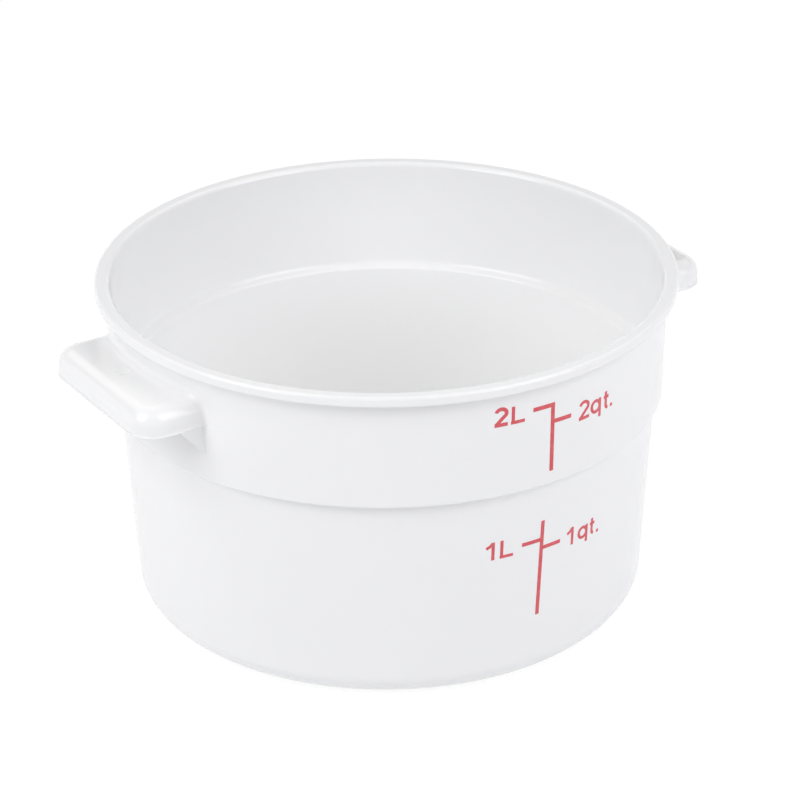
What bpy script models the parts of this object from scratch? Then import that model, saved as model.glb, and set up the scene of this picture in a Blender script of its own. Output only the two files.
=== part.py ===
"""Round food storage tub, moulded in one piece with two ledge handles, and its printed volume scales.

The tub stands on its foot ring, centred on the origin, with +Z up. The handles lie along +X and -X, and the
scales are printed on the wall at -Y. Every size is a named value in metres.
"""

import math

import bmesh
import bpy

# Tub
RIM_RADIUS = 0.0910
TUB_HEIGHT = 0.1075
WALL = 0.0016
FLOOR = 0.0022

# Rim: a flat land with a squared lip outside and a softer edge inside
LIP_HEIGHT = 0.0032
LIP_OVERHANG = 0.0031
LIP_EDGE = 0.0006
LIP_ROOT = 0.0006
RIM_INNER_EDGE = 0.0014

# Wall: a wide upper band, the stacking shoulder, and a narrower lower band, both drawn in for moulding
SHOULDER_DEPTH = 0.0383
SHOULDER_WIDTH = 0.0022
SHOULDER_EDGE = 0.0008
SHOULDER_ROOT = 0.0005
LEDGE_LIFT = 0.0009
LEDGE_RISE = 0.0014
UPPER_DRAFT = 0.0009
LOWER_DRAFT = 0.0035

# Base: a rounded corner, a flat foot ring and a shallow recess inside it
BASE_CORNER = 0.0085
FOOT_WIDTH = 0.0060
FOOT_RECESS = 0.0008
RECESS_SLOPE = 0.0012
GATE_RADIUS = 0.0030
GATE_DEPTH = 0.0004

# Handles: a ledge with a turned-down skirt, hollow below, and a web under each end
HANDLE_DROP = 0.0112
HANDLE_REACH = 0.0153
HANDLE_WIDTH = 0.0597
HANDLE_CORNER = 0.0079
HANDLE_EDGE = 0.0050
HANDLE_SKIRT = 0.0086
HANDLE_PLATE = 0.0024
HANDLE_WALL = 0.0022
HANDLE_FILLET = 0.0025
SIDE_FILLET = 0.0010
WEB_THICKNESS = 0.0012
WEB_INSET = 0.0006
WEB_REACH = 0.0082
WEB_DROP = 0.0089

# Printed scales: upright bars on the two bands of the wall, each with a tick on either side
INK_FILM = 0.0002
INK_GAP = 0.0001
STROKE = 0.0014
LEFT_TICK = 0.0072
RIGHT_TICK = 0.0066
UPPER_BAR_DEPTH = 0.0109
UPPER_BAR_MARGIN = 0.0045
UPPER_BAR_SIDE = 0.0028
UPPER_LEFT_TICK_DROP = 0.0007
UPPER_RIGHT_TICK_DROP = 0.0064
LOWER_BAR_DROP = 0.0136
LOWER_BAR_MARGIN = 0.0140
LOWER_BAR_SIDE = 0.0020
LOWER_LEFT_TICK_DROP = 0.0065
LOWER_RIGHT_TICK_DROP = 0.0095

# How shapes are divided and cut
TURN_STEPS = 96
FILLET_STEPS = 5
SECTION_STEPS = 12
OVERRUN = 0.0020
FILLET_BITE = 0.00025
WEB_ROOT_DEPTH = 0.0020

# Places worked out from the sizes above
LIP_WALL_RADIUS = RIM_RADIUS - LIP_OVERHANG
SHOULDER_RADIUS = LIP_WALL_RADIUS - UPPER_DRAFT
LOWER_WALL_RADIUS = SHOULDER_RADIUS - SHOULDER_WIDTH
BASE_RADIUS = LOWER_WALL_RADIUS - LOWER_DRAFT
SHOULDER_Z = TUB_HEIGHT - SHOULDER_DEPTH
LIP_Z = TUB_HEIGHT - LIP_HEIGHT
FOOT_OUTER_RADIUS = BASE_RADIUS - BASE_CORNER
FOOT_INNER_RADIUS = FOOT_OUTER_RADIUS - FOOT_WIDTH
LEDGE_FOOT_Z = SHOULDER_Z + LEDGE_LIFT
LEDGE_HEAD_Z = LEDGE_FOOT_Z + LEDGE_RISE
FLOOR_Z = FOOT_RECESS + FLOOR
HANDLE_TOP_Z = TUB_HEIGHT - HANDLE_DROP
SKIRT_Z = HANDLE_TOP_Z - HANDLE_SKIRT
UPPER_BAR = (UPPER_BAR_SIDE, TUB_HEIGHT - UPPER_BAR_DEPTH, SHOULDER_Z + UPPER_BAR_MARGIN)
LOWER_BAR = (LOWER_BAR_SIDE, SHOULDER_Z - LOWER_BAR_DROP, BASE_CORNER + LOWER_BAR_MARGIN)


def clear_scene():
    """Removes what the startup scene holds."""
    for obj in list(bpy.data.objects):
        bpy.data.objects.remove(obj)


def new_collection(name, hidden=False):
    """A collection in the scene; cutters go in a hidden one."""
    collection = bpy.data.collections.new(name)
    collection.hide_render = hidden
    bpy.context.scene.collection.children.link(collection)
    return collection


def new_material(name, color, roughness, metallic=0.0):
    """A Principled material."""
    material = bpy.data.materials.new(name)
    material.use_nodes = True
    shader = material.node_tree.nodes["Principled BSDF"]
    shader.inputs["Base Color"].default_value = (*color, 1)
    shader.inputs["Roughness"].default_value = roughness
    shader.inputs["Metallic"].default_value = metallic
    return material


def white_polypropylene():
    """The glossy white plastic of the tub."""
    return new_material("white_polypropylene", color=(0.86, 0.87, 0.88), roughness=0.28)


def coral_ink():
    """The red ink of the printed scales."""
    return new_material("coral_ink", color=(0.70, 0.11, 0.13), roughness=0.45)


def new_object(name, bm, collection, material=None):
    """An object made from a bmesh, shaded smooth but for its sharp edges."""
    bmesh.ops.recalc_face_normals(bm, faces=bm.faces)
    return object_from(name, bm, collection, material)


def object_from(name, bm, collection, material=None):
    """An object made from a bmesh whose faces are left as they are."""
    mesh = bpy.data.meshes.new(name)
    bm.to_mesh(mesh)
    bm.free()
    mesh.shade_smooth()
    mesh.set_sharp_from_angle(angle=math.radians(35))
    obj = bpy.data.objects.new(name, mesh)
    if material:
        mesh.materials.append(material)
    else:
        obj.hide_render = True
        obj.display_type = "WIRE"
    collection.objects.link(obj)
    return obj


def join(obj, other, operation):
    """A live Boolean of one object with another."""
    modifier = obj.modifiers.new(f"{operation.lower()} {other.name}", "BOOLEAN")
    modifier.operation = operation
    modifier.solver = "EXACT"
    modifier.object = other


def arc(center, radius, start, end, steps):
    """Points of an arc in a profile, from one angle in degrees to another."""
    points = []
    for i in range(steps + 1):
        angle = math.radians(start + (end - start) * i / steps)
        points.append((center[0] + radius * math.cos(angle), center[1] + radius * math.sin(angle)))
    return points


def turned(name, profile, collection, material=None):
    """A closed profile of (radius, height) points turned about Z. It runs down its outer side."""
    bm = bmesh.new()
    corners = [bm.verts.new((radius, 0, height)) for radius, height in profile]
    for first, second in zip(corners, corners[1:] + corners[:1]):
        bm.edges.new((first, second))
    obj = object_from(name, bm, collection, material)
    screw = obj.modifiers.new("turn", "SCREW")
    screw.steps = TURN_STEPS
    screw.render_steps = TURN_STEPS
    screw.use_merge_vertices = True
    screw.merge_threshold = 0.000001
    return obj


def wall_radius(z):
    """The outer radius of the wall at a height, below the lip and above the base corner."""
    if z >= SHOULDER_Z:
        share = (LIP_Z - z) / (LIP_Z - SHOULDER_Z)
        return LIP_WALL_RADIUS - UPPER_DRAFT * share
    share = (SHOULDER_Z - z) / (SHOULDER_Z - BASE_CORNER)
    return LOWER_WALL_RADIUS - LOWER_DRAFT * share


def inner_radius(z):
    """The inner radius of the wall at a height, above or below the sloping ledge."""
    if z >= LEDGE_HEAD_Z:
        return wall_radius(z) - WALL
    share = (SHOULDER_Z - z) / (SHOULDER_Z - BASE_CORNER)
    return LOWER_WALL_RADIUS - LOWER_DRAFT * share - WALL


def outer_profile():
    """The outside of the tub, from the rim's land down to the middle of the base."""
    lip_top = (RIM_RADIUS - LIP_EDGE, TUB_HEIGHT - LIP_EDGE)
    lip_bottom = (RIM_RADIUS - LIP_EDGE, LIP_Z + LIP_EDGE)
    lip_root = (LIP_WALL_RADIUS + LIP_ROOT, LIP_Z - LIP_ROOT)
    shoulder = (SHOULDER_RADIUS - SHOULDER_EDGE, SHOULDER_Z + SHOULDER_EDGE)
    root = (LOWER_WALL_RADIUS + SHOULDER_ROOT, SHOULDER_Z - SHOULDER_ROOT)
    corner = (BASE_RADIUS - BASE_CORNER, BASE_CORNER)
    gate_z = FOOT_RECESS + GATE_DEPTH
    return [
        *arc(lip_top, LIP_EDGE, 90, 0, 3),
        *arc(lip_bottom, LIP_EDGE, 0, -90, 2),
        *arc(lip_root, LIP_ROOT, 90, 180, 2),
        *arc(shoulder, SHOULDER_EDGE, 0, -90, 3),
        *arc(root, SHOULDER_ROOT, 90, 180, 2),
        *arc(corner, BASE_CORNER, 0, -90, 8),
        (FOOT_INNER_RADIUS, 0),
        (FOOT_INNER_RADIUS - RECESS_SLOPE, FOOT_RECESS),
        (GATE_RADIUS + GATE_DEPTH, FOOT_RECESS),
        (GATE_RADIUS, gate_z),
        (0, gate_z),
    ]


def inner_profile():
    """The inside of the tub, from the middle of the floor up to the rim's land."""
    fillet = BASE_CORNER - WALL
    floor_corner = (inner_radius(FLOOR_Z + fillet) - fillet, FLOOR_Z + fillet)
    foot = inner_radius(LEDGE_FOOT_Z)
    head = inner_radius(LEDGE_HEAD_Z)
    slope = math.atan2(LEDGE_RISE, head - foot)
    back = (1 - math.sin(slope)) / math.cos(slope)
    tilt = math.degrees(slope)
    convex = (foot + SHOULDER_EDGE, LEDGE_FOOT_Z - SHOULDER_EDGE * back)
    concave = (head - SHOULDER_ROOT, LEDGE_HEAD_Z + SHOULDER_ROOT * back)
    rim = (inner_radius(TUB_HEIGHT - RIM_INNER_EDGE) + RIM_INNER_EDGE, TUB_HEIGHT - RIM_INNER_EDGE)
    return [
        (0, FLOOR_Z),
        *arc(floor_corner, fillet, -90, 0, 6),
        *arc(convex, SHOULDER_EDGE, 180, 90 + tilt, 3),
        *arc(concave, SHOULDER_ROOT, tilt - 90, 0, 3),
        *arc(rim, RIM_INNER_EDGE, 180, 90, 3),
    ]


def ledge_block(name, inset, top_z, bottom_z, collection):
    """A solid with the handle's outline, drawn in by inset, and with a rounded upper edge."""
    reach = LIP_WALL_RADIUS + HANDLE_REACH - inset
    side = HANDLE_WIDTH / 2 - inset
    corner = HANDLE_CORNER - inset
    root = LIP_WALL_RADIUS - HANDLE_REACH
    outline = [(root, -side)]
    outline += arc((reach - corner, corner - side), corner, -90, 0, 6)
    outline += arc((reach - corner, side - corner), corner, 0, 90, 6)
    outline += [(root, side)]
    bm = bmesh.new()
    base = bm.faces.new([bm.verts.new((x, y, bottom_z)) for x, y in outline])
    raised = bmesh.ops.extrude_face_region(bm, geom=[base])
    top = [item for item in raised["geom"] if isinstance(item, bmesh.types.BMVert)]
    bmesh.ops.translate(bm, verts=top, vec=(0, 0, top_z - bottom_z))
    rounded = [
        edge for edge in bm.edges
        if all(vert in top for vert in edge.verts) and max(vert.co.x for vert in edge.verts) > root
    ]
    bmesh.ops.bevel(
        bm, geom=rounded, offset=HANDLE_EDGE - inset, segments=5, profile=0.5, affect="EDGES",
    )
    return new_object(name, bm, collection)


def web_block(name, side, collection):
    """The triangular web under one end of a handle; side is 1 or -1."""
    outer = HANDLE_WIDTH / 2 - WEB_INSET
    wall_x = math.sqrt(wall_radius(SKIRT_Z) ** 2 - outer ** 2)
    root_x = wall_x - WEB_ROOT_DEPTH
    fall = WEB_DROP / WEB_REACH
    toe = (wall_x + WEB_REACH + WEB_ROOT_DEPTH / fall, SKIRT_Z + WEB_ROOT_DEPTH)
    heel = (root_x, SKIRT_Z - WEB_DROP - (wall_x - root_x) * fall)
    triangle = [toe, heel, (root_x, toe[1])]
    bm = bmesh.new()
    face = bm.faces.new([bm.verts.new((x, side * outer, z)) for x, z in triangle])
    raised = bmesh.ops.extrude_face_region(bm, geom=[face])
    moved = [item for item in raised["geom"] if isinstance(item, bmesh.types.BMVert)]
    bmesh.ops.translate(bm, verts=moved, vec=(0, -side * WEB_THICKNESS, 0))
    return new_object(name, bm, collection)


def swell(radius, distance):
    """How far a hollow fillet of this radius stands out, at a distance from the wall."""
    left = max(radius - distance, 0)
    return radius - math.sqrt(radius ** 2 - left ** 2)


def root_section(distance):
    """The handle's upper outline at a distance from the wall, as (across, height) points."""
    top = HANDLE_TOP_Z
    wide = HANDLE_EDGE + swell(SIDE_FILLET, distance) - FILLET_BITE
    high = HANDLE_EDGE + swell(HANDLE_FILLET, distance) - FILLET_BITE
    flat = HANDLE_WIDTH / 2 - HANDLE_EDGE
    edge = []
    for i in range(FILLET_STEPS + 1):
        angle = math.pi / 2 * i / FILLET_STEPS
        edge.append((flat + wide * math.cos(angle), top - HANDLE_EDGE + high * math.sin(angle)))
    middle = [(flat - 2 * flat * i / SECTION_STEPS, edge[-1][1]) for i in range(1, SECTION_STEPS)]
    return edge + middle + [(-across, height) for across, height in reversed(edge)]


def flare_block(name, collection):
    """The handle's root, lofted along the curve of its fillet, which hugs the round wall."""
    bm = bmesh.new()
    distances = [-WALL / 4]
    for i in range(FILLET_STEPS + 1):
        distances.append(HANDLE_FILLET * (1 - math.cos(math.pi / 2 * i / FILLET_STEPS)))
    rings = []
    for distance in distances:
        section = root_section(max(distance, 0))
        below = [(across, SKIRT_Z) for across, height in reversed(section)]
        ring = []
        for across, height in section + below:
            reach = math.sqrt((wall_radius(height) + distance) ** 2 - across ** 2)
            ring.append(bm.verts.new((reach, across, height)))
        rings.append(ring)
    edges = [[bm.edges.new(pair) for pair in zip(ring, ring[1:] + ring[:1])] for ring in rings]
    for near, far in zip(edges, edges[1:]):
        bmesh.ops.bridge_loops(bm, edges=near + far)
    for ring in (rings[0], rings[-1]):
        upper = ring[:len(ring) // 2]
        lower = ring[:len(upper) - 1:-1]
        for i in range(len(upper) - 1):
            bm.faces.new((upper[i], upper[i + 1], lower[i + 1], lower[i]))
    return new_object(name, bm, collection)


def wall_core(name, collection):
    """What the handles lose inside the wall: a turned core that follows the middle of the wall."""
    low = SHOULDER_Z
    high = LIP_Z
    middle = WALL / 2
    profile = [
        (wall_radius(high) - middle, high),
        (wall_radius(low) - middle, low),
        (wall_radius(low) - HANDLE_WIDTH / 2, low),
        (wall_radius(high) - HANDLE_WIDTH / 2, high),
    ]
    return turned(name, profile, collection)


def handle(name, turn, core, cutters):
    """One handle, ready to be joined to the wall, turned about Z by an angle in degrees."""
    block = ledge_block(name, 0, HANDLE_TOP_Z, SKIRT_Z, cutters)
    pocket = ledge_block(
        f"{name}_pocket", HANDLE_WALL, HANDLE_TOP_Z - HANDLE_PLATE, SKIRT_Z - OVERRUN, cutters,
    )
    flare = flare_block(f"{name}_flare", cutters)
    webs = [web_block(f"{name}_web_{i}", side, cutters) for i, side in enumerate((1, -1))]
    join(block, flare, "UNION")
    join(block, pocket, "DIFFERENCE")
    for web in webs:
        join(block, web, "UNION")
    join(block, core, "DIFFERENCE")
    for obj in (block, flare, pocket, *webs):
        obj.rotation_euler.z = math.radians(turn)
    return block


def tub_moulding(collection, cutters, material):
    """The tub with both handles, one piece of plastic."""
    tub = turned("tub_moulding", outer_profile() + inner_profile(), collection, material)
    core = wall_core("wall_core", cutters)
    for name, turn in (("right_handle", 0), ("left_handle", 180)):
        join(tub, handle(name, turn, core, cutters), "UNION")
    return tub


def cut_box(name, low, high, collection):
    """A box between two corners, as a helper."""
    bm = bmesh.new()
    bmesh.ops.create_cube(bm, size=1)
    size = [b - a for a, b in zip(low, high)]
    middle = [(a + b) / 2 for a, b in zip(low, high)]
    bmesh.ops.scale(bm, vec=size, verts=bm.verts)
    bmesh.ops.translate(bm, vec=middle, verts=bm.verts)
    return new_object(name, bm, collection)


def printed_scale(name, bar, left_drop, right_drop, collection, cutters, material):
    """An upright bar with a tick on each side, as a film that follows the wall.

    The bar is (distance from -Y, height of its top, height of its foot). A tick is given by its
    drop from the bar's top.
    """
    aside, top, foot = bar
    inner = INK_GAP
    outer = INK_GAP + INK_FILM
    profile = [
        (wall_radius(top) + outer, top),
        (wall_radius(foot) + outer, foot),
        (wall_radius(foot) + inner, foot),
        (wall_radius(top) + inner, top),
    ]
    film = turned(name, profile, collection, material)
    near = -wall_radius(top) - outer - OVERRUN
    far = -wall_radius(foot) / 2
    half = STROKE / 2
    low = (aside - half, near, foot - OVERRUN)
    high = (aside + half, far, top + OVERRUN)
    marks = cut_box(f"{name}_marks", low, high, cutters)
    for side, length, drop in (("left", -LEFT_TICK, left_drop), ("right", RIGHT_TICK, right_drop)):
        start, end = sorted((aside, aside + length))
        low = (start, near, top - drop - half)
        high = (end, far, top - drop + half)
        join(marks, cut_box(f"{name}_{side}_tick", low, high, cutters), "UNION")
    join(film, marks, "INTERSECT")
    return film


def build():
    """The whole object."""
    clear_scene()
    parts = new_collection("food_storage_tub")
    cutters = new_collection("cutters", hidden=True)
    plastic = white_polypropylene()
    ink = coral_ink()
    tub_moulding(parts, cutters, plastic)
    printed_scale(
        "upper_scale", UPPER_BAR, UPPER_LEFT_TICK_DROP, UPPER_RIGHT_TICK_DROP, parts, cutters, ink,
    )
    printed_scale(
        "lower_scale", LOWER_BAR, LOWER_LEFT_TICK_DROP, LOWER_RIGHT_TICK_DROP, parts, cutters, ink,
    )


build()
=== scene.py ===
"""Round white food storage tub, dressed for its studio picture.

The tub is one moulding: a turned body with a squared lip and a stacking shoulder, and two ledge
handles with skirts and webs. Litre and quart scales are printed on the wall at -Y. All lengths are
in metres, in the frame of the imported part: +Z up, handles along +X and -X.
"""

import logging
import math
from collections.abc import Iterable
from dataclasses import dataclass
from enum import Enum

import bmesh
import bpy
import numpy as np
from mathutils import Matrix


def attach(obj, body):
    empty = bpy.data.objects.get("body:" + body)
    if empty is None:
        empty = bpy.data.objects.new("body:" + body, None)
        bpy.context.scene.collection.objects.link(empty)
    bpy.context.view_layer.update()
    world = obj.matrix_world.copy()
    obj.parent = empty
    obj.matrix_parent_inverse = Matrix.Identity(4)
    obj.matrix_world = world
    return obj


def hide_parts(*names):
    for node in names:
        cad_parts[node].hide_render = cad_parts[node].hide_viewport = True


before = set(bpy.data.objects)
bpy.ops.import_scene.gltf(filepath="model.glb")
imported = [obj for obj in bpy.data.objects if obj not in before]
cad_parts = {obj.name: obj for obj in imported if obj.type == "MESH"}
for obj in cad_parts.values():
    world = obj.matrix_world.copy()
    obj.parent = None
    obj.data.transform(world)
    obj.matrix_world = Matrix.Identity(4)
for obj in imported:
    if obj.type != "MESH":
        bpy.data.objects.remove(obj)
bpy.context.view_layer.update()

WELD_DISTANCE = 1e-6
EMBED = 12e-6
CAMERA_TURN = 31.95
WHITE = (1.0, 1.0, 1.0, 1.0)

Array = np.ndarray
Values = np.ndarray | float
Pair = tuple[float, float]
Colour = tuple[float, float, float]
Socket = bpy.types.NodeSocket
Node = bpy.types.Node

log = logging.getLogger("food_storage_tub")


class Side(Enum):
    """Which way a handle points: along +X or along -X."""

    RIGHT = 1.0
    LEFT = -1.0


class Glyph(Enum):
    """The characters of the scales."""

    ONE = "1"
    TWO = "2"
    LITRE = "L"
    Q = "q"
    T = "t"
    STOP = "."


# Shapes in a plane


def unit(vector: Array) -> Array:
    """A vector's direction."""
    return vector / np.linalg.norm(vector)


def quarter(steps: int) -> Array:
    """The angles of a quarter turn from 0 on, in even steps."""
    return np.linspace(0, math.pi / 2, steps + 1)


def eased(steps: int) -> Array:
    """Shares from 0 to 1, close together at both ends: half of one minus the cosine of an even turn."""
    return (1 - np.cos(np.linspace(0, math.pi, steps + 1))) / 2


def arc(centre: Pair, radius: float, start: float, end: float, steps: int) -> Array:
    """Points of an arc between two angles in degrees: centre plus radius times (cosine, sine)."""
    angle = np.radians(np.linspace(start, end, steps + 1))
    return np.array(centre) + radius * np.stack([np.cos(angle), np.sin(angle)], axis=1)


def rounded_corner(before: Array, corner: Array, after: Array, radius: float, steps: int) -> Array:
    """The arc that rounds a corner and touches both its straight sides.

    The arc's centre lies on the corner's bisector, at radius / sine of half the corner's angle. Each
    point is the centre plus the radius times a direction turned evenly from one side to the other.

    Args:
        before: The corner point before this one.
        corner: The corner.
        after: The corner point after it.
        radius: The arc's radius.
        steps: How many chords it has.

    Returns:
        An array of steps + 1 points.
    """
    back, ahead = unit(before - corner), unit(after - corner)
    half = math.acos(float(np.clip(back @ ahead, -1, 1))) / 2
    reach = radius / math.tan(half)
    centre = corner + unit(back + ahead) * radius / math.sin(half)
    first = corner + back * reach - centre
    last = corner + ahead * reach - centre
    turn = math.atan2(first[0] * last[1] - first[1] * last[0], float(first @ last))
    angle = np.linspace(0, turn, steps + 1)[:, None]
    across = np.array([-first[1], first[0]])
    return centre + first * np.cos(angle) + across * np.sin(angle)


@dataclass(frozen=True)
class Corner:
    """A corner of a profile: where it is, how it is rounded, and how finely the run before it is cut."""

    radius: float
    height: float
    round: float = 0.0
    steps: int = 6
    run: int = 12


def rounded_profile(corners: list[Corner]) -> Array:
    """A profile with every corner rounded by an arc and every straight run cut with eased spacing.

    Args:
        corners: The corners in order. The first and last stay sharp.

    Returns:
        The profile's points as an array of (radius, height).
    """
    points = np.array([[corner.radius, corner.height] for corner in corners])
    parts = [points[:1]]
    for i, corner in enumerate(corners[1:], 1):
        bend = points[i:]
        if len(bend) > 1:
            bend = rounded_corner(*points[i - 1 : i + 2], corner.round, corner.steps)
        start = parts[-1][-1]
        parts += [start + (bend[0] - start) * eased(corner.run)[1:-1, None], bend]
    return np.concatenate(parts)


def joined(x: Values, y: Values, z: Values) -> Array:
    """Three coordinates joined into points, on a last axis of three."""
    return np.stack(np.broadcast_arrays(x, y, z), axis=-1)


# The tub's sizes


@dataclass(frozen=True)
class TubSizes:
    """The tub's sizes and the places that follow from them."""

    rim_radius: float = 0.0910
    height: float = 0.1075
    wall: float = 0.0016
    floor: float = 0.0022
    lip_height: float = 0.0032
    lip_overhang: float = 0.0031
    lip_edge: float = 0.0006
    lip_root: float = 0.0006
    rim_inner_edge: float = 0.0014
    rim_outer_edge: float = 0.0009
    shoulder_depth: float = 0.0383
    shoulder_width: float = 0.0022
    shoulder_edge: float = 0.0008
    shoulder_root: float = 0.0005
    ledge_lift: float = 0.0009
    ledge_rise: float = 0.0014
    ledge_root: float = 0.0017
    upper_draft: float = 0.0009
    lower_draft: float = 0.0035
    base_corner: float = 0.0085
    foot_width: float = 0.0060
    foot_edge: float = 0.0006
    foot_recess: float = 0.0008
    recess_slope: float = 0.0012
    gate_radius: float = 0.0030
    gate_depth: float = 0.0004
    gate_edge: float = 0.00015

    @property
    def lip_wall_radius(self) -> float:
        """The wall's outer radius just under the lip."""
        return self.rim_radius - self.lip_overhang

    @property
    def lower_wall_radius(self) -> float:
        """The lower wall's outer radius at the shoulder."""
        return self.lip_wall_radius - self.upper_draft - self.shoulder_width

    @property
    def shoulder_z(self) -> float:
        """The height of the shoulder's underside."""
        return self.height - self.shoulder_depth

    @property
    def lip_z(self) -> float:
        """The height of the lip's underside."""
        return self.height - self.lip_height

    def upper_radius(self, z: Values) -> Values:
        """The upper wall's outer radius at a height: a straight line from the lip to the shoulder."""
        share = (self.lip_z - z) / (self.lip_z - self.shoulder_z)
        return self.lip_wall_radius - self.upper_draft * share

    def lower_radius(self, z: Values) -> Values:
        """The lower wall's outer radius at a height: a straight line from the shoulder to the base."""
        share = (self.shoulder_z - z) / (self.shoulder_z - self.base_corner)
        return self.lower_wall_radius - self.lower_draft * share

    def wall_radius(self, z: Array) -> Array:
        """The outer radius of the wall at each height, above or below the shoulder."""
        return np.where(z >= self.shoulder_z, self.upper_radius(z), self.lower_radius(z))


# Finishes


@dataclass(frozen=True)
class Coat:
    """A finish as the pieces wear it: its material, and the slot that it fills."""

    material: bpy.types.Material
    slot: str


class NodeTree:
    """The nodes of a material or a world, with short ways to add and join them."""

    def __init__(self, owner: bpy.types.ID) -> None:
        """Clears the nodes of a material or a world."""
        self.owner = owner
        owner.use_nodes = True
        self.nodes, self.links = owner.node_tree.nodes, owner.node_tree.links
        self.nodes.clear()

    def add(self, kind: str, settings: dict | None = None, **inputs: object) -> Node:
        """Adds a shader node.

        Args:
            kind: The node's type.
            settings: Values of the node's own properties.
            **inputs: Values or sockets of its inputs, with underscores for spaces.

        Returns:
            The node.
        """
        node = self.nodes.new(f"ShaderNode{kind}")
        for key, value in (settings or {}).items():
            setattr(node, key, value)
        self.feed([node.inputs[key.replace("_", " ")] for key in inputs], *inputs.values())
        return node

    def feed(self, sockets: Iterable[Socket], *values: object) -> None:
        """Sets inputs to values, or joins them to other nodes' outputs."""
        for socket, value in zip(sockets, values):
            if isinstance(value, Socket):
                self.links.new(value, socket)
            else:
                socket.default_value = value

    def noise(self, scale: float, detail: float, roughness: float = 0.5) -> Socket:
        """A soft noise over the piece's own coordinates, by its waves per metre and its finer waves."""
        place = self.add("TexCoord").outputs["Object"]
        noise = self.add("TexNoise", Vector=place, Scale=scale, Detail=detail, Roughness=roughness)
        return noise.outputs["Fac"]

    def spread(self, factor: Socket, source: Pair, target: Pair = (0.0, 1.0)) -> Socket:
        """Maps a range of a factor onto another range, held at its ends."""
        ends = dict(zip(("From_Min", "From_Max", "To_Min", "To_Max"), source + target))
        return self.add("MapRange", {"clamp": True}, Value=factor, **ends).outputs["Result"]

    def blend(self, factor: Socket, first: Colour, second: Colour) -> Socket:
        """A colour between two colours."""
        node = self.add("Mix", {"data_type": "RGBA"}, Factor=factor, A=(*first, 1), B=(*second, 1))
        return next(socket for socket in node.outputs if socket.type == "RGBA")

    def bump(self, height: Socket, distance: float, **under: Socket) -> Socket:
        """A bumped normal, where a height of 1 stands a distance high, and a Normal to add it to."""
        return self.add("Bump", Height=height, Distance=distance, Strength=1.0, **under).outputs["Normal"]

    def math(self, operation: str, *values: object, kind: str = "Math") -> Socket:
        """The result of an operation on numbers, vectors or sockets."""
        node = self.add(kind, {"operation": operation})
        self.feed(node.inputs, *values)
        return node.outputs["Value"]

    def mix(self, share: Socket, first: Node, second: Node) -> Node:
        """Two shaders mixed by the second one's share."""
        node = self.add("MixShader")
        self.feed(node.inputs, share, first.outputs[0], second.outputs[0])
        return node

    def seen_rays(self) -> tuple[Socket, Socket]:
        """Whether a path is a reflection or goes through something clear, and whether it is the camera's."""
        rays = self.add("LightPath").outputs
        return self.math("MAXIMUM", rays["Is Glossy Ray"], rays["Is Transmission Ray"]), rays["Is Camera Ray"]

    def output(self, shader: Node) -> bpy.types.ID:
        """Ends the tree in a surface shader and gives the material or world."""
        kind = "World" if isinstance(self.owner, bpy.types.World) else "Material"
        self.add(f"Output{kind}", Surface=shader.outputs[0])
        return self.owner


@dataclass(frozen=True)
class WhitePolypropylene:
    """The tub's glossy white plastic: even in colour, with a fine orange peel and soft flow marks."""

    tone: Colour = (0.970, 0.972, 0.975)
    flow_tone: Colour = (0.972, 0.973, 0.975)
    flow_scale: float = 14.0
    flow_range: Pair = (0.35, 0.65)
    gloss: Pair = (0.07, 0.12)
    gloss_scale: float = 55.0
    gloss_range: Pair = (0.3, 0.7)
    ior: float = 1.49
    peel_scale: float = 520.0
    peel_height: float = 4e-6
    sink_scale: float = 38.0
    sink_height: float = 30e-6

    def coat(self) -> Coat:
        """The plastic's coat.

        The colour drifts between two whites with a slow noise. The roughness follows a finer noise.
        The normal adds a shallow wave, as where thick plastic sinks, and the fine grain of the mould.
        """
        tree = NodeTree(bpy.data.materials.new("white_polypropylene_moulded"))
        flow = tree.spread(tree.noise(self.flow_scale, detail=2.0), self.flow_range)
        rough = tree.spread(tree.noise(self.gloss_scale, detail=4.0), self.gloss_range, self.gloss)
        sink = tree.bump(tree.noise(self.sink_scale, detail=1.0), self.sink_height)
        peel = tree.bump(tree.noise(self.peel_scale, detail=2.0), self.peel_height, Normal=sink)
        tone = tree.blend(flow, self.tone, self.flow_tone)
        shader = tree.add("BsdfPrincipled", Base_Color=tone, Roughness=rough, IOR=self.ior, Normal=peel)
        return Coat(tree.output(shader), "white_polypropylene")


@dataclass(frozen=True)
class CoralInk:
    """The scales' printed ink: coral red, a little uneven in density, satin."""

    dense: Colour = (0.730, 0.085, 0.105)
    thin: Colour = (0.760, 0.150, 0.165)
    density_scale: float = 420.0
    thin_range: Pair = (0.4, 0.75)
    gloss: Pair = (0.42, 0.34)
    ior: float = 1.50
    grain_scale: float = 2600.0
    grain_height: float = 4e-6

    def coat(self) -> Coat:
        """The ink's coat: a noise thins the ink, and a finer one gives it its grain."""
        tree = NodeTree(bpy.data.materials.new("coral_ink_printed"))
        thin = tree.spread(tree.noise(self.density_scale, detail=4.0, roughness=0.6), self.thin_range)
        grain = tree.bump(tree.noise(self.grain_scale, detail=2.0), self.grain_height)
        rough = tree.spread(thin, (0.0, 1.0), self.gloss)
        tone = tree.blend(thin, self.dense, self.thin)
        shader = tree.add("BsdfPrincipled", Base_Color=tone, Roughness=rough, IOR=self.ior, Normal=grain)
        return Coat(tree.output(shader), "coral_ink")


# Meshes


def added(name: str, data: bpy.types.ID) -> bpy.types.Object:
    """A new object in the scene."""
    obj = bpy.data.objects.new(name, data)
    bpy.context.scene.collection.objects.link(obj)
    return obj


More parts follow.
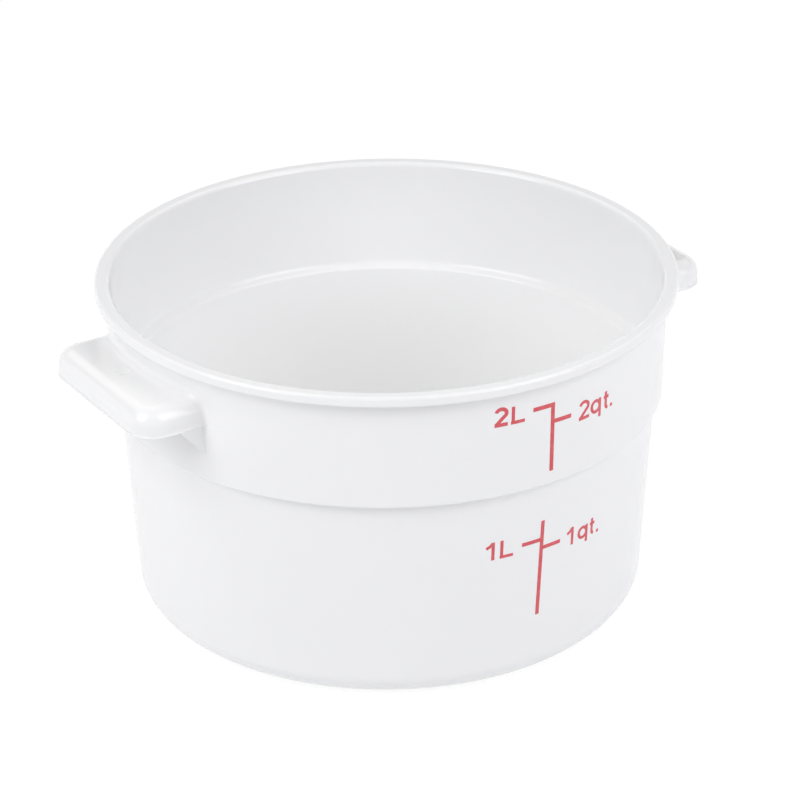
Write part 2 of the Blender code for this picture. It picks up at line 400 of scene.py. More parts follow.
class Skin:
    """Grids of points, gathered into one closed mesh. A row of points all in one place is a pole."""

    def __init__(self) -> None:
        """Starts with no points."""
        self.points: list[Array] = []
        self.faces: list[Array] = []

    def take(self, points: Array) -> Array:
        """Stores points, whose last axis holds x, y and z, and gives each its number."""
        self.points.append(points.reshape(-1, 3))
        count = sum(map(len, self.points[:-1]))
        return count + np.arange(len(self.points[-1])).reshape(points.shape[:-1])

    def grid(self, points: Array, wrap: bool = False) -> None:
        """Adds a grid of four-sided faces.

        Args:
            points: Rows by columns by three.
            wrap: Whether the last column joins the first.
        """
        index = self.take(points)
        if wrap:
            index = np.concatenate([index, index[:, :1]], axis=1)
        quads = [index[:-1, :-1], index[:-1, 1:], index[1:, 1:], index[1:, :-1]]
        self.faces.append(np.stack(quads, axis=-1).reshape(-1, 4))

    def close_ends(self, points: Array) -> None:
        """Closes a grid's first and last rows, each folded in two at its middle, by strips of faces."""
        half = points.shape[1] // 2
        for row in (points[0], points[-1]):
            self.grid(np.stack([row[:half], row[: half - 1 : -1]]))

    def build(self, name: str, coat: Coat, *nodes: str, smooth: bool = True) -> None:
        """Welds the points, turns the faces outwards and adds the piece to the part.

        The piece is at the origin, with its place in its mesh. An edge is open unless two faces use it.

        Args:
            name: The piece's name.
            coat: Its finish.
            *nodes: The CAD nodes that it stands for.
            smooth: Whether it is shaded smooth.
        """
        mesh = bpy.data.meshes.new(name)
        faces = [face for grid in self.faces for face in grid.tolist()]
        mesh.from_pydata(np.concatenate(self.points), [], faces)
        shell = bmesh.new()
        shell.from_mesh(mesh)
        bmesh.ops.remove_doubles(shell, verts=shell.verts, dist=WELD_DISTANCE)
        bmesh.ops.recalc_face_normals(shell, faces=shell.faces)
        shell.to_mesh(mesh)
        shell.free()
        mesh.polygons.foreach_set("use_smooth", np.full(len(mesh.polygons), smooth))
        mesh.materials.append(coat.material)
        mesh.update()
        edges = np.empty(len(mesh.loops), np.int32)
        mesh.loops.foreach_get("edge_index", edges)
        open_edges = (np.bincount(edges, minlength=len(mesh.edges)) != 2).sum()
        obj = added(name, mesh)
        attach(obj, "root")
        if nodes:
            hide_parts(*nodes)
        log.info("%s: %d faces, %d open edges", name, len(mesh.polygons), open_edges)


# The moulding


@dataclass(frozen=True)
class TubBody:
    """The turned body: foot, wall, shoulder, lip and rim outside, and wall, ledge and floor inside."""

    sizes: TubSizes
    columns: int = 320

    def profile(self) -> Array:
        """The section from the middle of the base, up the outside, over the rim and down to the floor."""
        s = self.sizes
        gate_z, floor_z = s.foot_recess + s.gate_depth, s.foot_recess + s.floor
        foot_inner = s.lower_wall_radius - s.lower_draft - s.base_corner - s.foot_width
        ledge_foot, ledge_head = s.shoulder_z + s.ledge_lift, s.shoulder_z + s.ledge_lift + s.ledge_rise
        return rounded_profile([
            Corner(0.0, gate_z),
            Corner(s.gate_radius, gate_z, s.gate_edge, 3, 4),
            Corner(s.gate_radius + s.gate_depth, s.foot_recess, s.gate_edge, 3, 2),
            Corner(foot_inner - s.recess_slope, s.foot_recess, s.foot_edge, 4, 14),
            Corner(foot_inner, 0.0, s.foot_edge, 4, 2),
            Corner(s.lower_radius(0.0), 0.0, s.base_corner, 26, 8),
            Corner(s.lower_wall_radius, s.shoulder_z, s.shoulder_root, 6, 22),
            Corner(s.lip_wall_radius - s.upper_draft, s.shoulder_z, s.shoulder_edge, 8, 3),
            Corner(s.lip_wall_radius, s.lip_z, s.lip_root, 6, 18),
            Corner(s.rim_radius, s.lip_z, s.lip_edge, 7, 4),
            Corner(s.rim_radius, s.height, s.rim_outer_edge, 10, 4),
            Corner(s.upper_radius(s.height) - s.wall, s.height, s.rim_inner_edge, 12, 5),
            Corner(s.upper_radius(ledge_head) - s.wall, ledge_head, s.ledge_root, 12, 18),
            Corner(s.lower_radius(ledge_foot) - s.wall, ledge_foot, s.shoulder_edge, 8, 3),
            Corner(s.lower_radius(floor_z) - s.wall, floor_z, s.base_corner - s.wall, 22, 20),
            Corner(0.0, floor_z, run=14),
        ])

    def build(self, coat: Coat) -> None:
        """Turns the profile about Z, from pole to pole, to stand for the CAD moulding.

        A point is (radius times cosine, radius times sine, height) of the column's angle.

        Args:
            coat: The plastic.
        """
        profile = self.profile()
        turn = np.arange(self.columns) * 2 * math.pi / self.columns
        radius, height = profile[:, :1], profile[:, 1:]
        skin = Skin()
        skin.grid(joined(radius * np.cos(turn), radius * np.sin(turn), height), wrap=True)
        skin.build("tub_body", coat, "tub_moulding")


@dataclass(frozen=True)
class Line:
    """A line of points on the handle: their place, height, outward normal (lean, rise) and root fillet."""

    place: Array
    height: Values
    lean: Values
    rise: Values
    fillet: Values


@dataclass(frozen=True)
class LedgeHandle:
    """A ledge handle: a plate with a rounded edge and a skirt, hollow below, with a web under each end."""

    sizes: TubSizes
    side: Side
    drop: float = 0.0112
    reach: float = 0.0153
    half_width: float = 0.02985
    corner: float = 0.0079
    edge: float = 0.0050
    skirt: float = 0.0086
    plate: float = 0.0024
    wall: float = 0.0022
    top_fillet: float = 0.0025
    side_fillet: float = 0.0010
    foot_fillet: float = 0.0004
    inner_fillet: float = 0.0008
    root_overrun: float = 0.00025
    foot_outer_edge: float = 0.00030
    foot_bead: float = 0.00022
    foot_inner_edge: float = 0.00030
    web_thickness: float = 0.0012
    web_inset: float = 0.0006
    web_reach: float = 0.0082
    web_drop: float = 0.0089
    web_edge: float = 0.00035
    web_fillet: float = 0.0005
    web_tuck: float = 0.0003
    web_overrun: float = 0.0008
    mark_place: float = 0.0930
    mark_across: float = -0.0008
    mark_radius: float = 0.0026
    mark_depth: float = 0.00052
    bead_length: float = 0.0070
    bead_height: float = 0.00012
    bead_width: float = 0.00016
    edge_steps: int = 14
    foot_steps: int = 4
    foot_cuts: int = 3
    skirt_steps: int = 4
    root_steps: int = 7
    run_steps: int = 24
    corner_steps: int = 16
    front_steps: int = 120
    web_steps: int = 5
    web_rows: int = 29
    bead_rows: int = 40
    bead_sides: int = 16

    @property
    def top_z(self) -> float:
        """The height of the plate's top."""
        return self.sizes.height - self.drop

    @property
    def skirt_z(self) -> float:
        """The height of the skirt's lower edge."""
        return self.top_z - self.skirt

    @property
    def front(self) -> float:
        """How far out the skirt's face is."""
        return self.sizes.lip_wall_radius + self.reach

    def name(self, sign: float, kind: str) -> str:
        """The name of a piece at the handle's near end, towards -Y, or at its far end."""
        end = "near" if sign * self.side.value < 0 else "far"
        return f"{self.side.name.lower()}_{end}_{kind}"

    def place(self, out: Values, across: Values, height: Values) -> Array:
        """Points from handle coordinates, turned to the handle's side of the tub."""
        return joined(out * self.side.value, across * self.side.value, height)

    def section(self) -> Line:
        """The section, carried round the handle: rounded edge, skirt, foot, inner face, inner rounding.

        Its places are depths behind the skirt's face, and it runs from the plate's top to its underside.
        The mould's parting line runs round the skirt's foot as a half-round bead. Each arc is its
        centre plus its radii along the outward normal, or minus them where the arc is hollow. The
        normal turns evenly from one end to the other. A straight run keeps the points between its ends.
        """
        edge, wall, low, high = self.edge, self.wall, self.skirt_z, self.top_z - self.edge
        outer, bead, hem, inner = self.foot_outer_edge, self.foot_bead, self.foot_inner_edge, edge - wall
        crown, side, foot, hollow = self.top_fillet, self.side_fillet, self.foot_fillet, self.inner_fillet
        vault = self.top_z - self.plate - inner
        rows = []

        def add(points: Array, normals: Array | Pair, fillet: Values) -> None:
            """Keeps one stretch of the section."""
            parts = points, np.broadcast_to(normals, points.shape), np.broadcast_to(fillet, len(points))
            rows.append(np.column_stack(parts))

        def bend(centre: Pair, radii: Pair, angles: Pair, steps: int, fillet: Values) -> None:
            """Keeps an arc, without its first point where its fillets are one short."""
            normals = arc((0, 0), 1, *angles, steps)[1 if np.size(fillet) == steps else 0 :]
            add(centre + normals * radii, normals, fillet)

        def line(start: Pair, end: Pair, steps: int, normal: Pair, fillet: float) -> None:
            """Keeps the points between a straight run's ends."""
            share = np.linspace(0, 1, steps + 1)[1:-1, None]
            add(start + np.subtract(end, start) * share, normal, fillet)

        turn, foot_steps = quarter(self.edge_steps), self.foot_steps
        blend = side * np.sin(turn) ** 2 + crown * np.cos(turn) ** 2
        bend((edge, high), (edge, edge), (90, 180), self.edge_steps, blend)
        line((0, high), (0, low + 2 * outer), self.skirt_steps, (-1, 0), side)
        half_round = arc((0, 0), 1, 90, 180, foot_steps) * (bead, outer)
        add((0, low + outer) + half_round, (-1, 0), side)
        blend = np.linspace(side, foot, foot_steps + 1)[1:]
        bend((outer, low + outer), (outer + bead, outer), (180, 270), foot_steps, blend)
        line((outer, low), (wall - hem, low), self.foot_cuts, (0, -1), foot)
        blend = np.linspace(foot, hollow, foot_steps + 1)
        bend((wall - hem, low + hem), (hem, hem), (270, 360), foot_steps, blend)
        line((wall, low + hem), (wall, vault), self.skirt_steps, (1, 0), hollow)
        bend((edge, vault), (-inner, -inner), (0, -90), self.edge_steps, hollow)
        return Line(*np.concatenate(rows).T)

    def flare(self, line: Line, end: Values) -> Array:
        """Rows of points that leave the wall along a hollow fillet and run out straight.

        At an angle a of the fillet, a point stands fillet * (1 - cos a) off the wall and is moved
        along its normal by fillet * (1 - sin a). It lies at the square root of (wall radius plus its
        distance) squared minus its place across squared. One row more runs on just under the wall.

        Args:
            line: The line of points, placed across the handle.
            end: How far out the rows end.

        Returns:
            The places out, across and in height, each rows by points.
        """
        across, height, fillet = np.broadcast_arrays(line.place, line.height, line.fillet)
        angle = quarter(self.root_steps)[:, None]
        off = np.concatenate([np.full((1, len(across)), -EMBED), fillet * (1 - np.cos(angle))])
        moved = np.concatenate([fillet[None] + self.root_overrun, fillet * (1 - np.sin(angle))])
        t, z = across + line.lean * moved, height + line.rise * moved
        out = np.sqrt((self.sizes.wall_radius(z) + off) ** 2 - t**2)
        run = out[-1] + (end - out[-1]) * eased(self.run_steps)[1:, None]
        return np.moveaxis(np.concatenate([joined(out, t, z), joined(run, across, height)]), -1, 0)

    def outline(self, depth: Array) -> tuple[Array, Array]:
        """The outline's columns, round a corner, along the front and round the other corner.

        Args:
            depth: How far behind the skirt's face each point of a column is.

        Returns:
            The places out and across, each columns by depths.
        """
        corner_out, corner_across = self.front - self.corner, self.half_width - self.corner
        angle, round_ = quarter(self.corner_steps)[:0:-1, None], self.corner - depth
        out, across = corner_out + round_ * np.cos(angle), corner_across + round_ * np.sin(angle)
        middle = np.linspace(-1, 1, self.front_steps + 1)[:, None] * corner_across
        front, middle = np.broadcast_arrays(self.front - depth, middle)
        return np.concatenate([out, front, out[::-1]]), np.concatenate([-across, middle, across[::-1]])

    def skirt_grid(self) -> Array:
        """The section carried along the handle's outline: side, corner, front, corner, side."""
        section = self.section()
        out, across = self.outline(section.place)
        rounds = self.place(out, across, section.height)[1:-1]
        ends = []
        for sign in (-1.0, 1.0):
            side = sign * (self.half_width - section.place)
            line = Line(side, section.height, -sign * section.lean, section.rise, section.fillet)
            ends.append(self.place(*self.flare(line, self.front - self.corner)))
        return np.concatenate([ends[0], rounds, ends[1][::-1]])

    def plate_grid(self, height: float, up: float, fillet: float) -> Array:
        """The plate's top or underside: rows from the wall out to where the rounding starts.

        Args:
            height: The height of the face.
            up: 1 for the top, which carries the mould's mark, and -1 for the underside.
            fillet: The root fillet's radius.

        Returns:
            Points, rows by columns by three.
        """
        end, across = np.squeeze(self.outline(np.array([self.edge])), axis=-1)
        out, t, z = self.flare(Line(across, height, 0.0, up, fillet), end)
        if up > 0:
            z = z - self.mould_mark(out, t)
        return self.place(out, t, z)

    def mould_mark(self, out: Array, across: Array) -> Array:
        """The depth of the mould's round mark in the plate: a smooth dish, (1 - distance squared) squared."""
        distance = ((out - self.mark_place) ** 2 + (across - self.mark_across) ** 2) / self.mark_radius**2
        return self.mark_depth * np.clip(1 - distance, 0, 1) ** 2

    def build_ledge(self, coat: Coat) -> None:
        """The plate and skirt as one closed skin, with its root just inside the wall."""
        skirt = self.skirt_grid()
        top = self.plate_grid(self.top_z, 1.0, self.top_fillet)
        under = self.plate_grid(self.top_z - self.plate, -1.0, self.inner_fillet)
        skin = Skin()
        for points in (skirt, top, under):
            skin.grid(points)
        skin.close_ends(skirt)
        skin.grid(np.stack([top[0], under[0]]))
        skin.build(f"{self.side.name.lower()}_ledge", coat)

    def swell(self, distance: Array) -> Array:
        """How far the web's hollow fillet stands out at a distance from the surface that it runs into."""
        left = np.clip(self.web_fillet - distance, 0, self.web_fillet)
        return self.web_fillet - np.sqrt(self.web_fillet**2 - left**2)

    def build_web(self, sign: float, coat: Coat) -> None:
        """A web: a U-shaped nose carried down a sloping line, its far edges inside the wall.

        Half the web's thickness grows towards the wall and towards the skirt by a hollow fillet,
        radius minus the root of radius squared minus the rest squared.

        Args:
            sign: Which end of the handle it is under, -1 or 1.
            coat: The plastic.
        """
        half, face = self.web_thickness / 2, self.half_width - self.web_inset
        middle = sign * (face - half)
        wall_out = math.sqrt(self.sizes.upper_radius(self.skirt_z) ** 2 - face**2)
        heel_z = self.skirt_z - self.web_drop
        turn = quarter(self.web_steps)
        hollow = self.web_fillet * (1 - np.cos(turn))
        z = np.concatenate([
            [self.skirt_z + self.web_tuck],
            self.skirt_z - hollow,
            np.linspace(self.skirt_z - self.web_fillet, heel_z - self.web_overrun, self.web_rows + 1)[1:],
        ])[:, None]
        nose = wall_out + self.web_reach * (z - heel_z) / self.web_drop
        wall_here = np.sqrt(self.sizes.wall_radius(z) ** 2 - middle**2)
        far = np.minimum(wall_here - self.sizes.wall / 2, nose - 2 * self.web_edge)
        face_out = np.concatenate([far, np.minimum(wall_here + hollow, nose - self.web_edge)], axis=1)
        swell_top = self.swell(self.skirt_z - z)
        face_half = half + np.maximum(self.swell(face_out - wall_here), swell_top)
        nose_out = nose - self.web_edge * (1 - np.sin(turn)) + swell_top
        nose_half = half - self.web_edge * (1 - np.cos(turn)) + swell_top
        out = np.concatenate([face_out, nose_out, nose_out[:, ::-1], face_out[:, ::-1]], axis=1)
        thick = np.concatenate([-face_half, -nose_half, nose_half[:, ::-1], face_half[:, ::-1]], axis=1)
        loop = self.place(out, middle + thick, z)
        skin = Skin()
        skin.grid(loop, wrap=True)
        skin.close_ends(loop)
        skin.build(self.name(sign, "web"), coat)

    def build_bead(self, sign: float, coat: Coat) -> None:
        """The mould's parting line: a fine bead that runs on along the wall from the skirt's foot.

        Each ring is an ellipse about a point of the wall, which shrinks along the bead by the root
        of one minus the share to the fourth. The first ring is the pole that closes it in the skirt.

        Args:
            sign: Which end of the handle it starts from, -1 or 1.
            coat: The plastic.
        """
        radius, level = self.sizes.upper_radius(self.skirt_z), self.skirt_z + self.foot_outer_edge
        start = math.asin((self.half_width - self.wall) / radius)
        end = math.asin((self.half_width + self.side_fillet) / radius) + self.bead_length / radius
        share = np.linspace(0, 1, self.bead_rows + 1)[:, None]
        turn = start + (end - start) * share
        shrink = np.sqrt(1 - share**4)
        shrink[0] = 0
        around = np.linspace(0, 2 * math.pi, self.bead_sides + 1)[:-1]
        away = radius + self.bead_height * shrink * np.cos(around)
        z = level + self.bead_width * shrink * np.sin(around)
        skin = Skin()
        skin.grid(self.place(away * np.cos(turn), sign * away * np.sin(turn), z), wrap=True)
        skin.build(self.name(sign, "parting_bead"), coat)

    def build(self, coat: Coat) -> None:
        """Builds the ledge, its two webs and the two parting beads."""
        self.build_ledge(coat)
        for sign in (-1.0, 1.0):
            self.build_web(sign, coat)
            self.build_bead(sign, coat)


# Printing


@dataclass(frozen=True)
class PenStroke:
    """A stroke of a pen: the line that its middle follows, its width, and whether its ends are square."""

    line: Array
    width: float
    square: bool = True

    def distance(self, points: Array) -> Array:
        """How far each point is outside the stroke, negative inside.

        It is the distance to the nearest piece of the line, less half the width. Near a square end
        it is at least the distance past the end's own cut.

        Args:
            points: Points in the plane, on the last axis.

        Returns:
            The distances.
        """
        start, end = self.line[:-1], self.line[1:]
        along = end - start
        from_start = points[..., None, :] - start
        share = np.clip((from_start * along).sum(-1) / (along**2).sum(-1), 0, 1)
        gap = np.linalg.norm(from_start - share[..., None] * along, axis=-1).min(axis=-1) - self.width / 2
        if self.square:
            for tip, inner in ((self.line[0], self.line[1]), (self.line[-1], self.line[-2])):
                past = (points - tip) @ unit(tip - inner)
                near = self.width - np.linalg.norm(points - tip, axis=-1)
                gap = np.maximum(gap, np.minimum(past, near))
        return gap


@dataclass(frozen=True)
class Letter:
    """A plain sans-serif character drawn with a pen, on a cell whose height is that of a capital.

    The pen's width is a share of the height. The left edge is measured along the wall.
    """

    glyph: Glyph
    pen: float
    left: float
    foot: float
    height: float
    stretch: float

    def lines(self) -> list[Array]:
        """The middle lines of the character's strokes, with the cell's foot at 0 and its top at 1.

        Bowls are arcs of circles and ellipses, and stems and feet are straight.

        Returns:
            One array of points for each stroke.
        """
        half = self.pen / 2
        if self.glyph is Glyph.ONE:
            strokes = [[0.36, 0.0], [0.36, 1.0]], [[0.03, 0.70], [0.20, 0.79], [0.345, 0.965]]
        elif self.glyph is Glyph.LITRE:
            strokes = [[half, 1.0], [half, 0.0]], [[0.0, half], [0.60, half]]
        elif self.glyph is Glyph.TWO:
            bowl = arc((0.315, 1 - half - 0.225), 0.225, 165, -32, 22)
            hook = np.concatenate([bowl, [[0.40, 0.46], [0.11, half + 0.035], [0.06, half]]])
            strokes = hook, [[0.03, half], [0.60, half]]
        elif self.glyph is Glyph.Q:
            bowl = (0.285, 0.36) + arc((0, 0), 1, 0, 360, 32) * (0.20, 0.285)
            strokes = bowl, [[0.50, 0.72], [0.50, -0.26]]
        elif self.glyph is Glyph.T:
            stem = np.concatenate([[[0.17, 0.93]], arc((0.30, 0.20), 0.13, 180, 275, 8)])
            strokes = stem, [[0.03, 0.64], [0.36, 0.64]]
        else:
            strokes = ([[0.10, 0.0], [0.10, self.pen]],)
        return [np.array(stroke) for stroke in strokes]

    def strokes(self) -> list[PenStroke]:
        """The character's strokes at its place on the wall. Only the q's round bowl has no cut ends."""
        scale = np.array([self.height * self.stretch, self.height])
        place = np.array([self.left, self.foot])
        return [
            PenStroke(place + line * scale, self.pen * self.height, self.glyph is not Glyph.Q or i > 0)
            for i, line in enumerate(self.lines())
        ]


@dataclass(frozen=True)
class PrintedScale:
    """A printed scale: an upright bar with a tick on either side, and the words beside the ticks."""

    sizes: TubSizes
    name: str
    pen: float
    lines: tuple[Array, ...]
    words: tuple[list[Letter], list[Letter]]
    film: float = 0.00004
    cell: float = 0.00011
    slope_cut: int = 20
    settling: int = 3
    least_slope: float = 1e-12

    def on_wall(self, flat: Array, lift: float) -> Array:
        """Wraps points from the flat print onto the wall.

        A point's angle from -Y is its distance along divided by the wall's radius at its height.

        Args:
            flat: Points as (distance along, height).
            lift: How far off the wall they are.

        Returns:
            Points in space.
        """
        along, height = flat[..., 0], flat[..., 1]
        radius = self.sizes.wall_radius(height)
        turn = along / radius
        return joined((radius + lift) * np.sin(turn), -(radius + lift) * np.cos(turn), height)

    def build_film(self, name: str, strokes: list[PenStroke], coat: Coat, *nodes: str) -> None:
        """A film of ink over the union of some strokes, closed, with its inner face just inside the wall.

        A fine grid is laid over the strokes. The cells whose middle is inside are kept, and the
        points of their edge are moved onto the outline, against the slope of the distance.

        Args:
            name: The piece's name.
            strokes: The pen strokes.
            coat: The ink.
            *nodes: The CAD node that it stands for.
        """
        lines = np.concatenate([stroke.line for stroke in strokes])
        low, high = lines.min(axis=0) - self.pen, lines.max(axis=0) + self.pen
        axes = [np.arange(a, b + self.cell, self.cell) for a, b in zip(low, high)]
        plane = np.stack(np.meshgrid(*axes, indexing="ij"), axis=-1)

        def gap(points: Array) -> Array:
            """The distance to the union: the least of the strokes' distances."""
            return np.min([stroke.distance(points) for stroke in strokes], axis=0)

        inside = gap(plane[:-1, :-1] + self.cell / 2) < 0
        index = np.arange(plane[..., 0].size).reshape(plane.shape[:2])
        quads = np.stack([index[:-1, :-1], index[1:, :-1], index[1:, 1:], index[:-1, 1:]], axis=-1)[inside]
        sides = np.concatenate([quads[:, [i, (i + 1) % 4]] for i in range(4)])
        key = np.sort(sides, axis=1) @ np.array([index.size, 1])
        _, first, count = np.unique(key, return_index=True, return_counts=True)
        rim = sides[first[count == 1]]
        flat = plane.reshape(-1, 2)
        edge = np.unique(rim)
        steps = np.eye(2) * self.cell / self.slope_cut
        for _ in range(self.settling):
            here = flat[edge]
            slope = np.stack([gap(here + step) - gap(here - step) for step in steps], axis=-1)
            slope /= np.maximum(np.linalg.norm(slope, axis=-1, keepdims=True), self.least_slope)
            flat[edge] = here - slope * gap(here)[:, None]
        used = np.unique(quads)
        number = np.zeros(len(flat), np.int64)
        number[used] = np.arange(len(used))
        faces, walls, below = number[quads], number[rim], len(used)
        skin = Skin()
        for lift in (self.film, -EMBED):
            skin.take(self.on_wall(flat[used], lift))
        skin.faces += [faces, faces[:, ::-1] + below, np.concatenate([walls[:, ::-1], walls + below], axis=1)]
        skin.build(name, coat, *nodes, smooth=False)

    def build(self, coat: Coat) -> None:
        """Prints the bar with its ticks, then the two words."""
        bar = [PenStroke(line, self.pen) for line in self.lines]
        self.build_film(f"{self.name}_bar", bar, coat, self.name)
        for word, measure in zip(self.words, ("litre", "quart")):
            strokes = [stroke for letter in word for stroke in letter.strokes()]
            self.build_film(f"{self.name}_{measure}_mark", strokes, coat)


def printed_scales(sizes: TubSizes) -> tuple[PrintedScale, PrintedScale]:
    """The upper scale, for two litres and two quarts, and the lower one, for one of each.

    Args:
        sizes: The tub's sizes.

    Returns:
        The two scales. Distances along the wall start at -Y and grow towards +X.
    """
    upper_pen, lower_pen = 0.00138, 0.00130
    bold, light = 0.188, 0.165
    half = upper_pen / 2

    def line(*points: Pair) -> Array:
        """Points as (distance along, depth below the rim), turned into heights."""
        return np.array([(along, sizes.height - depth) for along, depth in points])

    def word(text: str, pen: float, *places: tuple[float, ...]) -> list[Letter]:
        """Letters, each by its left edge, the depth of its foot, its height and its stretch."""
        return [
            Letter(Glyph(mark), pen, left, sizes.height - depth, *size)
            for mark, (left, depth, *size) in zip(text, places)
        ]

    upper_lines = (
        line((0.0028, 0.01155 - half), (0.0028, 0.0337)),
        line((-0.0042, 0.01155), (0.0028 + half, 0.01155)),
        line((0.0028, 0.01717), (0.0098, 0.01733)),
    )
    lower_lines = (
        line((0.00225, 0.0519), (0.00163, 0.0850)),
        line((-0.0050, 0.0584), (0.0022, 0.0584)),
        line((0.0021, 0.0614), (0.0093, 0.0614)),
    )
    two_litres = word("2L", bold, (-0.0171, 0.0146, 0.0064, 1.16), (-0.0116, 0.0146, 0.0058, 1.32))
    one_litre = word("1L", light, (-0.0172, 0.0612, 0.0062, 1.10), (-0.0125, 0.0612, 0.0062, 1.21))
    two_quarts = word(
        "2qt.",
        light,
        (0.0128, 0.02045, 0.0064, 1.16),
        (0.0176, 0.0202, 0.0064, 1.36),
        (0.0236, 0.0205, 0.0064, 1.05),
        (0.02675, 0.0205, 0.0064, 1.05),
    )
    one_quart = word(
        "1qt.",
        light,
        (0.0120, 0.0646, 0.0062, 1.05),
        (0.0165, 0.0643, 0.0062, 1.36),
        (0.0221, 0.0646, 0.0062, 1.05),
        (0.0254, 0.0649, 0.0062, 1.05),
    )
    return (
        PrintedScale(sizes, "upper_scale", upper_pen, upper_lines, (two_litres, two_quarts)),
        PrintedScale(sizes, "lower_scale", lower_pen, lower_lines, (one_litre, one_quart)),
    )


# The studio


def stand(name: str, data: bpy.types.ID, axes: tuple[Array, Array, Array], place: Array) -> bpy.types.Object:
    """Stands a camera or a lamp in the studio.

    Args:
        name: The object's name.
        data: The camera or lamp.
        axes: Where its right, its top and its back point.
        place: Where it is.

    Returns:
        The object.
    """
    matrix = np.eye(4)
    matrix[:3] = np.stack([*axes, place], axis=1)
    obj = added(name, data)
    obj.matrix_world = Matrix(matrix.tolist())
    return obj


def plane_turn(degrees: float, first: int, second: int) -> Array:
    """The matrix that turns the first axis towards the second, each given by its number."""
    angle, matrix = math.radians(degrees), np.eye(3)
    matrix[first, first] = matrix[second, second] = math.cos(angle)
    matrix[first, second], matrix[second, first] = -math.sin(angle), math.sin(angle)
    return matrix


@dataclass(frozen=True)
class PhotoCamera:
    """The camera of the picture, solved from the outlines of the rim, shoulder, base and handles.

    The shift is the rim's middle in the camera's own axes (right, down, ahead), in rim radii.
    """

    sizes: TubSizes
    focal_pixels: float = 3215.0
    image_pixels: float = 800.0
    sensor_mm: float = 36.0
    pitch: float = 26.54
    roll: float = -0.595
    shift: tuple[float, float, float] = (-0.0467, -0.4516, 11.0283)
    clip: Pair = (0.05, 20.0)

    def build(self) -> None:
        """Makes the camera and lets the scene use it.

        Its right, down and ahead directions are the rows of a turn about Z, a tilt and a roll.
        """
        axes = plane_turn(self.roll, 0, 1) @ plane_turn(90 + self.pitch, 1, 2) @ plane_turn(CAMERA_TURN, 0, 1)
        right, down, ahead = axes
        rim = np.array([0, 0, self.sizes.height])
        data = bpy.data.cameras.new("photo_camera")
        data.sensor_width = self.sensor_mm
        data.lens = self.focal_pixels / self.image_pixels * self.sensor_mm
        data.clip_start, data.clip_end = self.clip
        place = rim - axes.T @ np.array(self.shift) * self.sizes.rim_radius
        bpy.context.scene.camera = stand("photo_camera", data, (right, -down, -ahead), place)


@dataclass(frozen=True)
class Softbox:
    """A rectangular softbox, aimed at the tub. Its azimuth is counted from the picture's right."""

    name: str
    azimuth: float
    width: float
    power: float
    colour: Colour
    height: float = 0.87
    elevation: float = 37.0
    distance: float = 1.2

    def build(self, target: Array) -> None:
        """Makes the softbox and turns it to face a point."""
        turned = plane_turn(-self.azimuth - CAMERA_TURN, 0, 1) @ plane_turn(self.elevation, 0, 2)
        away, across, up = turned.T
        light = bpy.data.lights.new(self.name, "AREA")
        light.shape = "RECTANGLE"
        light.size, light.size_y = self.width, self.height
        light.energy, light.color = self.power, self.colour
        stand(self.name, light, (across, up, away), target + away * self.distance)


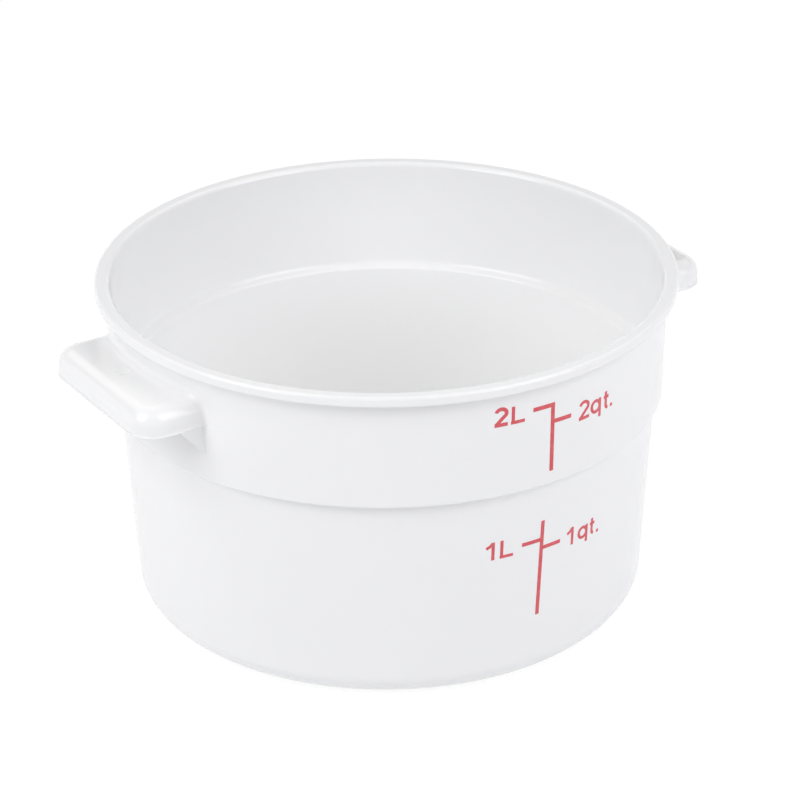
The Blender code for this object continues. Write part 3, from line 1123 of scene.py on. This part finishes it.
@dataclass(frozen=True)
class Studio:
    """A studio: a white floor and backdrop, a room that is brightest half way up, and two softboxes.

    A band of the room's light is the sine of its elevation and its radiance.
    """

    full: float = 2.0
    lean: float = 0.55
    backdrop_rise: float = 0.30
    backdrop_edge: float = 0.06
    floor_tone: Colour = (0.90, 0.90, 0.90)
    floor_glow: float = 1.07
    floor_glow_share: float = 0.85
    floor_reach: float = 1.6
    floor_level: float = -5e-5
    bands: tuple[tuple[float, Colour], ...] = (
        (0.00, (0.14, 0.15, 0.20)),
        (0.44, (0.14, 0.15, 0.20)),
        (0.58, (0.79, 0.78, 0.72)),
        (0.84, (0.79, 0.78, 0.72)),
        (0.94, (0.10, 0.10, 0.10)),
        (1.00, (0.10, 0.10, 0.10)),
    )
    softboxes: tuple[Softbox, ...] = (
        Softbox("right_softbox", azimuth=33.5, width=0.73, power=6.05, colour=(0.95, 0.95, 1.0)),
        Softbox("left_softbox", azimuth=145.0, width=0.75, power=6.75, colour=(0.97, 0.97, 1.0)),
    )

    def build_room(self) -> None:
        """The world: light that follows a direction's height by the bands, and grows towards the back.

        The radiance is the bands' colour times 1 plus the lean times the direction's part away from
        the camera's side. The camera sees white all round. Glossy and clear paths see a white
        backdrop that stands round the floor up to the backdrop's rise. Neither lights anything.
        """
        world = bpy.data.worlds.new("white_room")
        bpy.context.scene.world = world
        tree = NodeTree(world)
        direction = tree.add("TexCoord").outputs["Generated"]
        height = tree.add("SeparateXYZ", Vector=direction).outputs["Z"]
        ramp = tree.add("ValToRGB", Fac=height)
        ramp.color_ramp.interpolation = "EASE"
        stops = ramp.color_ramp.elements
        for rise, _ in self.bands[1:-1]:
            stops.new(rise)
        for stop, (_, radiance) in zip(stops, self.bands):
            stop.color = (*(value / self.full for value in radiance), 1)
        turn = math.radians(CAMERA_TURN)
        away = math.sin(turn), math.cos(turn), 0.0
        back = tree.math("DOT_PRODUCT", direction, away, kind="VectorMath")
        level = tree.math("MULTIPLY_ADD", back, self.lean * self.full, self.full)
        fill = tree.add("Background", Color=ramp.outputs["Color"], Strength=level)
        white = tree.add("Background", Color=WHITE, Strength=1.0)
        low = tree.spread(height, (self.backdrop_rise + self.backdrop_edge, self.backdrop_rise))
        mirrored, direct = tree.seen_rays()
        seen = tree.math("MAXIMUM", tree.math("MULTIPLY", mirrored, low), direct)
        tree.output(tree.mix(seen, fill, white))

    def build_floor(self) -> None:
        """The floor: white, lit by the lamps, with a glow that only direct views and reflections see."""
        tree = NodeTree(bpy.data.materials.new("studio_floor"))
        seen = tree.math("MAXIMUM", *tree.seen_rays())
        lit = tree.add("BsdfDiffuse", Color=(*self.floor_tone, 1))
        glow = tree.add("Emission", Color=WHITE, Strength=self.floor_glow)
        share = tree.math("MULTIPLY", seen, self.floor_glow_share)
        square = np.array([[-1, -1], [1, -1], [1, 1], [-1, 1]]) * self.floor_reach
        mesh = bpy.data.meshes.new("studio_floor")
        mesh.from_pydata(joined(*square.T, self.floor_level), [], [range(len(square))])
        mesh.materials.append(tree.output(tree.mix(share, lit, glow)))
        floor = added("studio_floor", mesh)

    def build(self, target: Array) -> None:
        """Builds the room, the floor and the softboxes, which face the target."""
        self.build_room()
        self.build_floor()
        for box in self.softboxes:
            box.build(target)


def main() -> None:
    """Builds the tub, its handles, its print and the studio."""
    logging.basicConfig(level=logging.INFO, format="%(name)s: %(message)s")
    bpy.context.scene.view_settings.view_transform = "Standard"
    sizes = TubSizes()
    PhotoCamera(sizes).build()
    plastic = WhitePolypropylene().coat()
    TubBody(sizes).build(plastic)
    for side in Side:
        LedgeHandle(sizes, side).build(plastic)
    ink = CoralInk().coat()
    for scale in printed_scales(sizes):
        scale.build(ink)
    Studio().build(np.array([0.0, 0.0, sizes.height / 2]))


if __name__ == "__main__":
    main()
